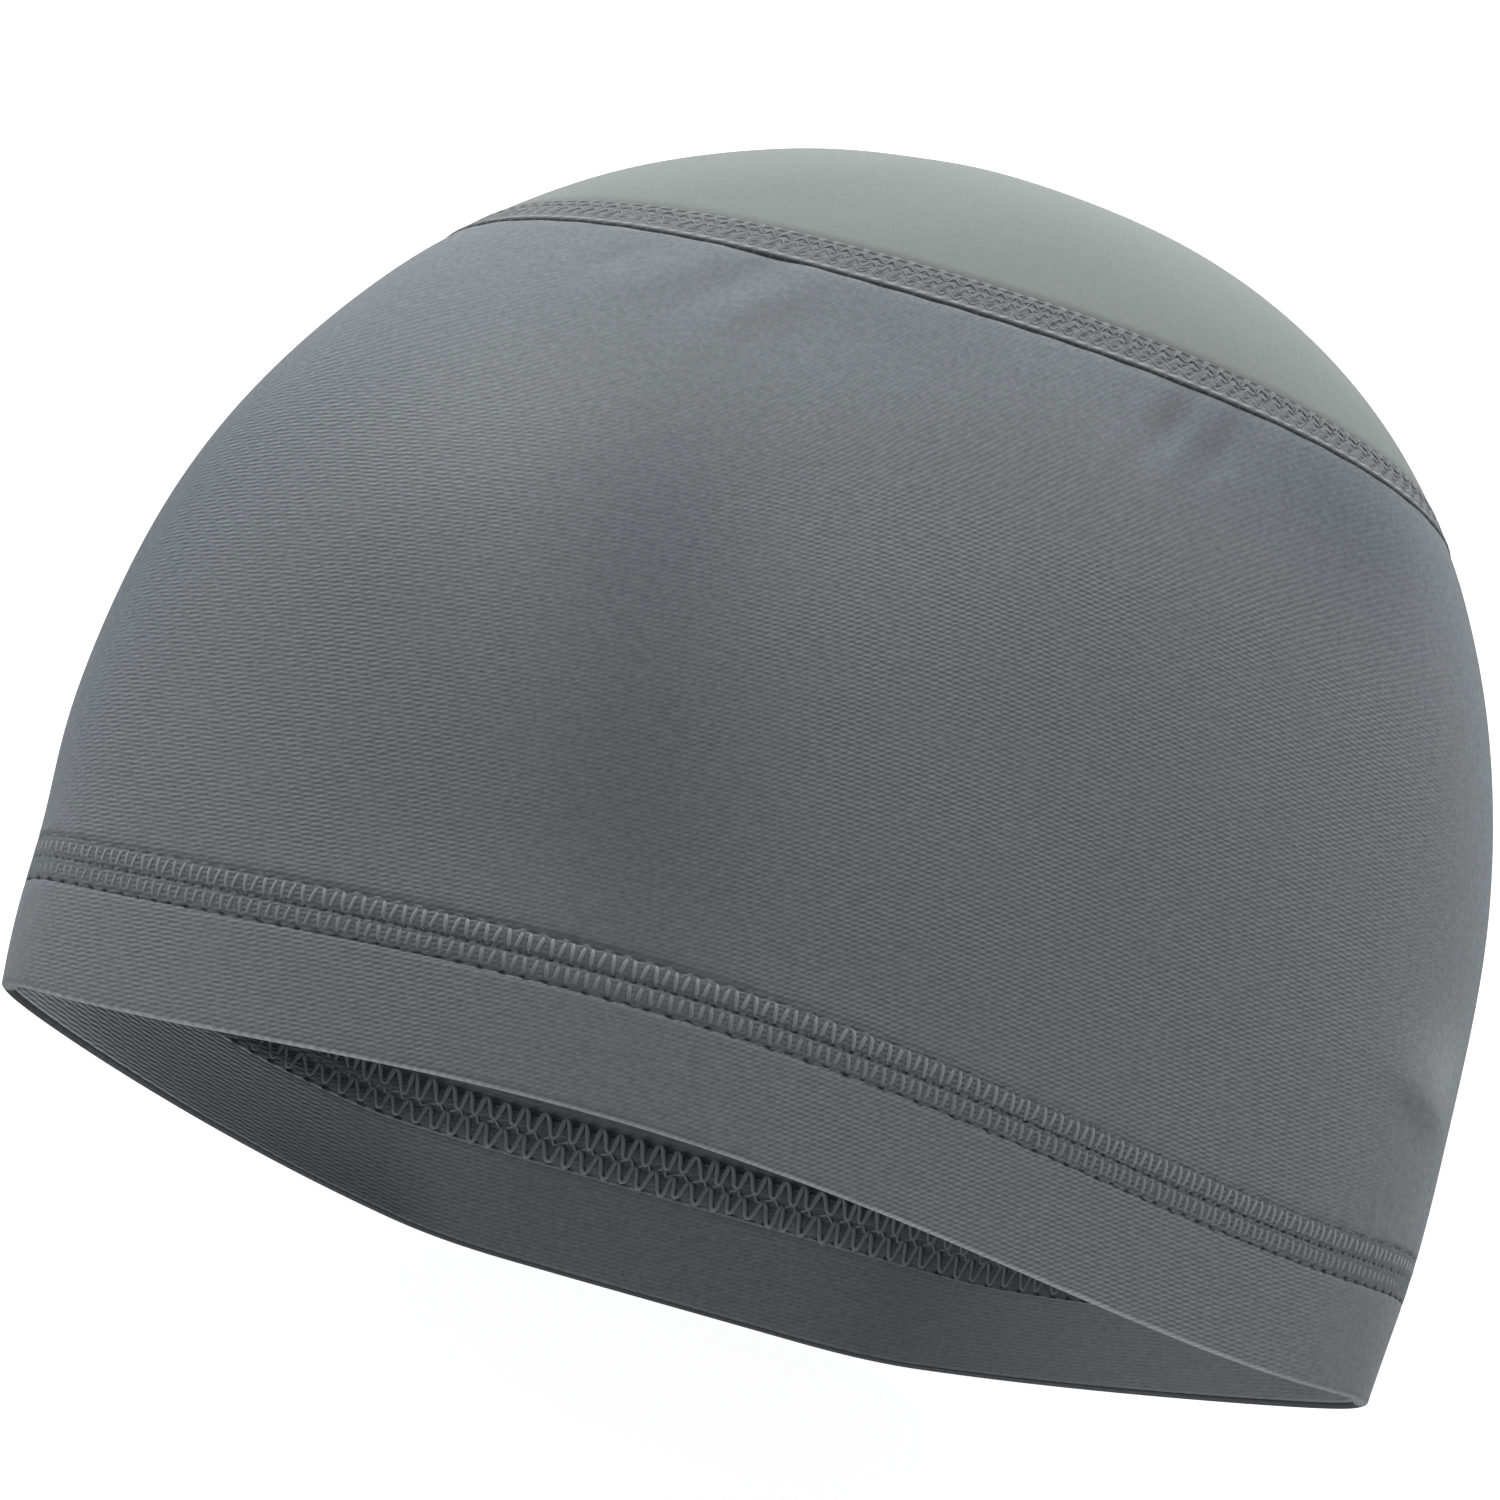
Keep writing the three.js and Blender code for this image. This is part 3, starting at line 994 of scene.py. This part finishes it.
def knit(name, ground, light, layer, wander=0.9, slanted=0.45, relief=0.06, painted_shading_marks=(), painted_highlights=(), painted_light_tone=()):
    """Jersey seen close: small light dashes of yarn over a darker ground, clearer in some
    patches than in others, with the painted shade of a seam's dark marks and the painted
    highlight of its light streaks. The painted light tone is the ground and light where the
    painted light is strongest, and relief the yarn's height in mm."""
    material, shader = new_material(name, CLOTH_ROUGHNESS)
    tree = material.node_tree
    place = add(tree, "TexCoord", output="Object")
    place = add(tree, "VectorMath", {0: place, "Scale": 1 / MM}, operation="SCALE")
    yarn = lattice(tree, layer, place, wander, slanted)
    share, painted_light_amount = map_values(tree, "inside_clear" if layer == "inside" else "clear")
    fuzz = add(tree, "TexNoise", {"Vector": place, "Scale": FUZZ, "Detail": 3.0})
    clear = add(tree, "TexNoise", {"Vector": place, "Scale": CLEAR_PATCHES, "Detail": 2.0})
    clear = add(tree, "Math", clear, YARN_MORE, YARN_LEAST, operation="MULTIPLY_ADD")
    clear = add(tree, "Math", share, clear, operation="MULTIPLY")
    woven = add(tree, "Math", yarn, 0.5, operation="SUBTRACT")
    woven = add(tree, "Math", woven, clear, operation="MULTIPLY")
    amount = add(tree, "Math", fuzz, FUZZ_LIGHT, woven, operation="MULTIPLY_ADD", use_clamp=True)
    colour = add(tree, "Mix", {0: amount, 6: ground, 7: light}, **COLOUR_MIX)
    # Painted light and painted shade: the colour moves towards its palest colours by the map's paleness.
    if painted_light_tone:
        painted_light_amount = add(tree, "Clamp", painted_light_amount, *PAINTED_LIGHT_LIMITS)
        painted_light_colour = add(tree, "Mix", {0: amount, 6: painted_light_tone[0], 7: painted_light_tone[1]}, **COLOUR_MIX)
        colour = add(tree, "Mix", {0: painted_light_amount, 6: colour, 7: painted_light_colour}, **COLOUR_MIX)
    # Painted highlight first, then painted shade, mixed over the colour.
    for rows, code in ((painted_highlights, PAINTED_HIGHLIGHT_LIGHT), (painted_shading_marks, PAINTED_SHADE_DARK)):
        if rows:
            shown = painted_seam_shading(tree, place, rows)
            colour = add(tree, "Mix", {0: shown, 6: colour, 7: code}, **COLOUR_MIX)
    tree.links.new(colour, shader.inputs["Base Color"])
    height = add(tree, "Math", fuzz, FUZZ_HEIGHT, woven, operation="MULTIPLY_ADD")
    bump = {"Strength": RELIEF_STRENGTH, "Distance": relief * MM, "Height": height}
    tree.links.new(add(tree, "Bump", bump), shader.inputs["Normal"])
    return material


# Painted shade of the seams, as dark marks: height and half width in millimetres, marked
# share, strength, dashes for each stitch, their shift and their slant. On the hem's band
# painted shade in the holes of the lower needle line, in short dashes along the middle one
# and in a thin line along the top one.
COVER_PAINTED_SHADE = (
    (0.12, 0.42, 0.42, 0.85, 1, 0, 0),
    (3.6, 0.36, 0.45, 0.8, 2, 0.2, 0),
    (7.0, 0.3, 0.8, 0.55, 1, 0, 0),
)
# On the crown's band painted shade in a dark ditch, along the top needle line and in slanted
# dashes between the stitches, and a painted highlight on the roll over the ditch.
CROWN_PAINTED_SHADE = (
    (0.0, 0.5, 1.0, 0.85, 1, 0, 0),
    (6.7, 0.5, 0.7, 0.9, 1, 0, 0.3),
    (5.5, 0.65, 0.46, 0.75, 1, 0.3, 0.5),
    (4.1, 0.65, 0.46, 0.75, 1, 0.75, 0.5),
    (2.7, 0.6, 0.46, 0.65, 1, 0.15, 0.5),
)
# A painted highlight on the rolled edge over the ditch.
CROWN_PAINTED_HIGHLIGHT = ((0.95, 0.45, 0.6, 0.5, 1, 0, 0.6),)
# On the looper side painted shade in the needle holes.
LOOPER_PAINTED_SHADE = ((0.1, 0.9, 0.4, 0.9, 1, 0.1, 0),)


def make_materials():
    """Every cloth and thread of the cap."""
    looks = {}
    # Grey nylon and elastane jersey: gives the eye rows of short light dashes.
    # The colours of its painted light.
    painted_light_tone = ("#7b7f82", "#9ea3a5")
    looks["body"] = knit("grey_nylon_elastane_jersey", "#5b5f63", "#7f8488", "grain", painted_light_tone=painted_light_tone)
    # The crown's jersey: the same yarn, paler, with a quieter face. The paler colours are partly
    # painted light, where the crown faces the lamps.
    name = "pale_grey_jersey_partly_painted_light"
    looks["crown"] = knit(name, "#767b79", "#848987", "grain", relief=0.02)
    # The jersey's back: finer lines that keep more of their length. Its colours are lighter
    # than the face's, partly painted light inside the mouth.
    # The colours of its painted light near the folds.
    painted_light_tone = ("#989ca0", "#c8cdd0")
    looks["back"] = knit("jersey_back_face", "#6a6e72", "#93989c", "inside", 0.7, 0.35, painted_light_tone=painted_light_tone)
    # Cover stitched jersey: the darker ground of the hem's stitched band, partly painted shade
    # between its threads.
    looks["cover"] = knit("cover_stitched_jersey", "#575b5e", "#777c7f", "grain", painted_shading_marks=COVER_PAINTED_SHADE)
    # The crown seam's ground: slanted dashes pressed into pale jersey, darkened with painted
    # shade, and a painted highlight on its roll.
    seams = {"painted_shading_marks": CROWN_PAINTED_SHADE, "painted_highlights": CROWN_PAINTED_HIGHLIGHT}
    looks["seam"] = knit("flat_seamed_jersey", "#5e6162", "#888b8b", "grain", **seams)
    # The looper side's ground, dark between its threads: partly painted shade.
    name = "looper_side_jersey"
    looks["looper"] = knit(name, "#505457", "#75797c", "inside", 0.9, 0.5, painted_shading_marks=LOOPER_PAINTED_SHADE)
    # The hem's fold where it lies on the floor: painted shade, a dark line under the cap's edge.
    looks["edge"] = knit("shaded_hem_fold", "#3c4043", "#484c4f", "grain")
    # Textured polyester thread: pale and matt, a little lighter than the cloth on the
    # hem's upper row, and duller on its lower row, on the crown and on the looper side.
    for key, name, code in (
        ("thread", "grey_polyester_thread", "#868a8e"),
        ("low_thread", "darker_grey_polyester_thread", "#7d8185"),
        ("crown_thread", "pale_grey_polyester_thread", "#787b7b"),
        ("inner_thread", "grey_polyester_looper_thread", "#808487"),
    ):
        material, shader = new_material(name, THREAD_ROUGHNESS)
        shader.inputs["Base Color"].default_value = linear(code)
        looks[key] = material
    return looks


# For rounding a thread's path: a stitch counts as so many half heights long, and the path
# is averaged with its neighbours so many times.
STITCH_LONG = 2.0
SOFTENINGS = 2
# A stitch may come out shorter by this many times what it may come out longer.
SHORTER = 1.5


def stroke_path(table, count, keys, low, high, steps, seed, loose):
    """A thread path that repeats once a stitch, as angles, cloth heights and its own wave.
    keys are (share of the stitch, height from -1 to 1) in order; the path runs straight
    between them and its corners are rounded by averaging with the neighbours. Each stitch
    is shifted and stretched by a seeded choice, and loose says how much."""
    keys = np.array(list(keys) + [(keys[0][0] + 1, keys[0][1])])
    ahead = np.hypot(np.diff(keys[:, 0]) * STITCH_LONG, np.diff(keys[:, 1]))
    walked = np.concatenate([[0], np.cumsum(ahead)])
    walk = np.arange(count * steps) / steps
    part = np.mod(walk, 1) * walked[-1]
    number = np.floor(walk) + np.interp(part, walked, keys[:, 0])
    wave = np.interp(part, walked, keys[:, 1])
    rng = np.random.default_rng(seed)
    shift = rng.uniform(-loose, loose, count)
    stretch = rng.uniform(1 - SHORTER * loose, 1 + loose, count)
    stitch = np.arange(count + 1)
    number = number + np.interp(walk, stitch, np.append(shift, shift[0]))
    wave = wave * np.interp(walk, stitch, np.append(stretch, stretch[0]))
    for _ in range(SOFTENINGS):
        before, after = np.roll(number, 1), np.roll(number, -1)
        before[0] -= count
        after[-1] += count
        number = (before + 2 * number + after) / 4
        wave = (np.roll(wave, 1) + 2 * wave + np.roll(wave, -1)) / 4
    around = number_angle(table, np.mod(number, count))
    return around, (low + high) / 2 + wave * (high - low) / 2, wave


# Paths of one stitch: share of the stitch along the seam, height between its two lines.
RIB_PAIR = ((0.03, -1), (0.1, 1), (0.5, 1), (0.68, -1))
WIDE_RIBS = ((0.0, -1), (0.1, 1), (0.52, 1), (0.62, -1))
LOOPER_PEAK = ((0.0, -1), (0.38, 1), (0.52, 1), (0.78, -1))
LEANING_PEAK = ((0.05, -1), (0.3, 1), (0.55, 0.6), (0.78, -1))
LOOPER_CROSS = ((0.2, -1), (0.95, 1))
CROWN_CHAIN = ((0.0, -1), (0.45, 1), (0.6, 1), (0.9, -1))
CROWN_SLANTS = ((0.1, -1), (0.55, 1), (0.75, 1), (1.0, -1))

# Cover threads: name, low and high line, path, lift at mid height, radius, look.
COVER_THREADS = (
    ("upper", NEEDLES[1] + 0.35, NEEDLES[2] - 0.3, RIB_PAIR, -0.18, 0.5, "thread"),
    ("lower", NEEDLES[0] + 0.4, NEEDLES[1] - 0.4, WIDE_RIBS, -0.27, 0.55, "low_thread"),
)
COVER_STEPS = 16
COVER_SEED = 3
COVER_LOOSE = 0.09
# How deep their ends go into the needle lines, and how much deeper they lie at the folds.
COVER_ENDS = 0.6
COVER_SUNK = 0.22
# Looper threads: low and high line, path, radius.
LOOPER_THREADS = (
    (NEEDLES[0] - 0.4, NEEDLES[1] + 0.2, LOOPER_PEAK, 0.4),
    (NEEDLES[1] + 0.5, NEEDLES[2] + 1.2, LEANING_PEAK, 0.4),
    (NEEDLES[1] - 0.5, NEEDLES[1] + 0.9, LOOPER_CROSS, 0.24),
)
LOOPER_STEPS = 16
LOOPER_SEED = 11
LOOPER_LOOSE = 0.15
LOOPER_LIFT = -2.1
LOOPER_ARCH = -0.12
# Crown threads: low and high line above the seam, path.
CROWN_THREADS = (
    (1.5, 2.9, CROWN_CHAIN),
    (3.0, 4.6, CROWN_SLANTS),
    (4.7, 6.2, CROWN_CHAIN),
)
CROWN_STEPS = 14
CROWN_SEED = 31
CROWN_LOOSE = 0.16
CROWN_LIFT = -0.04
CROWN_ARCH = 0.06
CROWN_THREAD_RADIUS = 0.19


def hem_threads(looks):
    """Cover threads outside and looper threads inside the hem seam. A cover thread dips at
    its ends as the fourth power of its wave, and a looper arches as its square."""
    for name, low, high, keys, lift, radius, look in COVER_THREADS:
        around, up, wave = stroke_path(
            HEM_TABLE, HEM_STITCHES, keys, low, high, COVER_STEPS, COVER_SEED, COVER_LOOSE
        )
        lift = lift - COVER_ENDS * wave**4 - COVER_SUNK * near_folds(around)
        thread(f"cover_thread_{name}", around, up, lift, radius, looks[look])
    for part, (low, high, keys, radius) in enumerate(LOOPER_THREADS):
        around, up, wave = stroke_path(
            HEM_TABLE, HEM_STITCHES, keys, low, high, LOOPER_STEPS, LOOPER_SEED + part, LOOPER_LOOSE
        )
        lift = LOOPER_LIFT + LOOPER_ARCH * (1 - wave**2)
        thread(f"looper_thread_{part + 1}", around, up, lift, radius, looks["inner_thread"])


def crown_threads(looks):
    """Three rows of slanted flat seam threads over the crown's seam band. They arch as the
    square of their wave."""
    for part, (low, high, keys) in enumerate(CROWN_THREADS):
        around, height, wave = stroke_path(
            CROWN_TABLE, CROWN_STITCHES, keys, low, high, CROWN_STEPS, CROWN_SEED + part, CROWN_LOOSE
        )
        lift = CROWN_LIFT + CROWN_ARCH * (1 - wave**2)
        name = f"crown_thread_{part + 1}"
        thread(name, around, seam_up(around) + height, lift, CROWN_THREAD_RADIUS, looks["crown_thread"])


# Profiles of the bands: depth of the lower and the upper edge, wall, how far the wall
# stands out, and rows outside, inside and round each edge.
HEM_PROFILE = chain_profile(0.4, -0.1, HEM_WALL, 0.0, 26, 26, 7)
HEM_BAND_PROFILE = chain_profile(0.0, 0.0, SEAM_WALL, 0.0, 34, 18, 3)
BODY_PROFILE = chain_profile(-0.5, -0.8, KNIT_WALL, 0.0, 90, 60, 3)
CROWN_BAND_PROFILE = chain_profile(0.0, 0.0, SEAM_WALL, 0.1, 40, 8, 3)
# Columns of each piece round the cap. The stitched bands have several for each stitch.
HEM_COLUMNS = 600
HEM_BAND_COLUMNS = 8 * HEM_STITCHES
BODY_COLUMNS = 560
CROWN_BAND_COLUMNS = 1200
CROWN_COLUMNS = 560
# The crown's rows outside and inside.
CROWN_ROWS_OUT = 70
CROWN_ROWS_IN = 40


def build_cap(looks):
    """All cloth pieces and threads of the cap."""
    body, back = looks["body"], looks["back"]
    hem = ring_piece(
        "hem_cloth", rim_line, hem_line, HEM_PROFILE, HEM_COLUMNS,
        hem_relief, hem_number, (body, back, looks["edge"]),
    )
    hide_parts("hem_band")
    band = ring_piece(
        "hem_stitching", hem_line, hem_top, HEM_BAND_PROFILE, HEM_BAND_COLUMNS,
        hem_seam_relief, hem_number, (looks["cover"], looks["looper"]),
    )
    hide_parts("hem_seam")
    panel = ring_piece(
        "body_cloth", hem_top, seam_up, BODY_PROFILE, BODY_COLUMNS,
        body_relief, hem_number, (body, back),
    )
    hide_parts("body_panel")
    seam = ring_piece(
        "crown_stitching", seam_up, crown_line, CROWN_BAND_PROFILE, CROWN_BAND_COLUMNS,
        crown_seam_relief, crown_number, (looks["seam"], back),
    )
    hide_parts("crown_seam")
    crown = crown_piece(
        "crown_cloth", crown_line, CROWN_COLUMNS, CROWN_ROWS_OUT, CROWN_ROWS_IN,
        crown_relief, (looks["crown"], back),
    )
    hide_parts("crown_panel")
    hem_threads(looks)
    crown_threads(looks)


# Lamps: name, azimuth and elevation they shine from in degrees, watts. The two strongest
# stand low behind the crown, so that the tone falls off towards the mouth as in the photo.
LAMPS = [
    ("crown_left_lamp", 117, 10, 27.5),
    ("crown_right_lamp", 60, 16, 22.0),
    ("front_right_lamp", -60, 9, 8.2),
    ("front_left_lamp", -150, 35, 6.0),
]
# Distance and side of a lamp in metres.
LAMP_AWAY = 1.6
LAMP_SIDE = 0.6
SURROUND_LIGHT = 0.2
# The floor: half its side, how far it lies under the cap, in metres, and its own light.
FLOOR_HALF = 3.0
FLOOR_BELOW = 0.0002
FLOOR_GLOW = 0.67


def make_lamp(name, azimuth, elevation, watts):
    """A square soft lamp that shines at the cap."""
    data = bpy.data.lights.new(name, "AREA")
    data.shape = "SQUARE"
    data.size = LAMP_SIDE
    data.energy = watts
    lamp = bpy.data.objects.new(name, data)
    turn, lift = math.radians(azimuth), math.radians(elevation)
    way = Vector((math.cos(turn) * math.cos(lift), math.sin(turn) * math.cos(lift), math.sin(lift)))
    lamp.location = way * LAMP_AWAY
    lamp.rotation_euler = way.to_track_quat("Z", "Y").to_euler()
    bpy.context.scene.collection.objects.link(lamp)


def make_stage():
    """A pale floor as one flat square, a white surround and the soft lamps."""
    half = FLOOR_HALF
    corners = [(-half, -half, 0), (half, -half, 0), (half, half, 0), (-half, half, 0)]
    mesh = bpy.data.meshes.new("pale_floor")
    mesh.from_pydata(corners, [], [(0, 1, 2, 3)])
    floor = bpy.data.objects.new("pale_floor", mesh)
    bpy.context.scene.collection.objects.link(floor)
    floor.location.z = -FLOOR_BELOW
    # Matt white paper under strong light of its own, so that it burns out to white.
    material, shader = new_material("white_paper_sweep", PAPER_ROUGHNESS)
    shader.inputs["Base Color"].default_value = linear("#f6f6f6")
    shader.inputs["Emission Color"].default_value = linear("#ffffff")
    shader.inputs["Emission Strength"].default_value = FLOOR_GLOW
    mesh.materials.append(material)
    world = bpy.data.worlds.new("white_surround")
    bpy.context.scene.world = world
    world.use_nodes = True
    back = next(n for n in world.node_tree.nodes if n.type == "BACKGROUND")
    back.inputs["Color"].default_value = (1, 1, 1, 1)
    back.inputs["Strength"].default_value = SURROUND_LIGHT
    for lamp in LAMPS:
        make_lamp(*lamp)


# The photo's camera: nearly overhead, with the rim's line running down to the right.
ELEVATION = 69.3
ROLL = 15.8
TARGET = (-8.46, -13.83, 40.0)
DISTANCE = 850.0
LENS = 130.4


def make_camera():
    """The photo's camera: it looks at its target from behind and above the mouth, turned
    about its own line of sight by the roll."""
    e, r = math.radians(ELEVATION), math.radians(ROLL)
    back = Vector((0, -math.cos(e), math.sin(e)))
    right = Vector((1, 0, 0))
    up = back.cross(right)
    across = right * math.cos(r) + up * math.sin(r)
    along = up * math.cos(r) - right * math.sin(r)
    place = (Vector(TARGET) + back * DISTANCE) * MM
    turn = Matrix((across, along, back)).transposed().to_4x4()
    data = bpy.data.cameras.new("photo_camera")
    data.sensor_width = 36
    data.lens = LENS
    data.clip_start = 0.05
    data.clip_end = 20
    camera = bpy.data.objects.new("photo_camera", data)
    camera.matrix_world = Matrix.Translation(place) @ turn
    bpy.context.scene.collection.objects.link(camera)
    bpy.context.scene.camera = camera


looks = make_materials()
build_cap(looks)
make_stage()
make_camera()
bpy.context.scene.view_settings.view_transform = "Standard"
